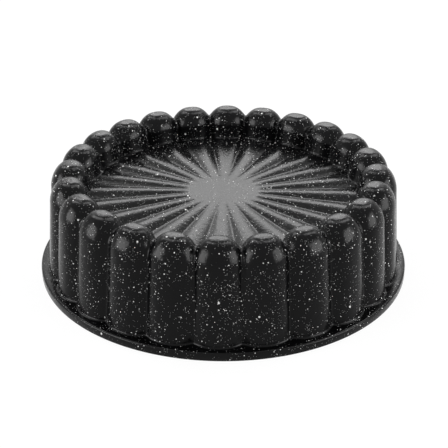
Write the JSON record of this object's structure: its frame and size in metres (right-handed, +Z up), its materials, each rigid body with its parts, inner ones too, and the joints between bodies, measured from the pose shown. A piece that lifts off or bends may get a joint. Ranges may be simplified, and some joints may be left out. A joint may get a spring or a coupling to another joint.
{
  "type": "fluted cake mould",
  "caption": "Deep round cast cake mould with rounded flutes, a radially ribbed base and a flat rim, black speckled coating, standing upside down.",
  "frame": {"origin": "centre of the rim's flat underside, on the surface that the mould stands on", "axes": "+Z up along the round axis, from the mouth to the domed flute tops; one flute's crest faces -Y, towards the picture's camera"},
  "size_m": [0.28, 0.28, 0.0805],
  "materials": {
    "coating": "black satin non-stick coating with fine white speckles, on cast aluminium"
  },
  "bodies": {
    "root": {"cast_mould": "coating"}
  },
  "joints": []
}
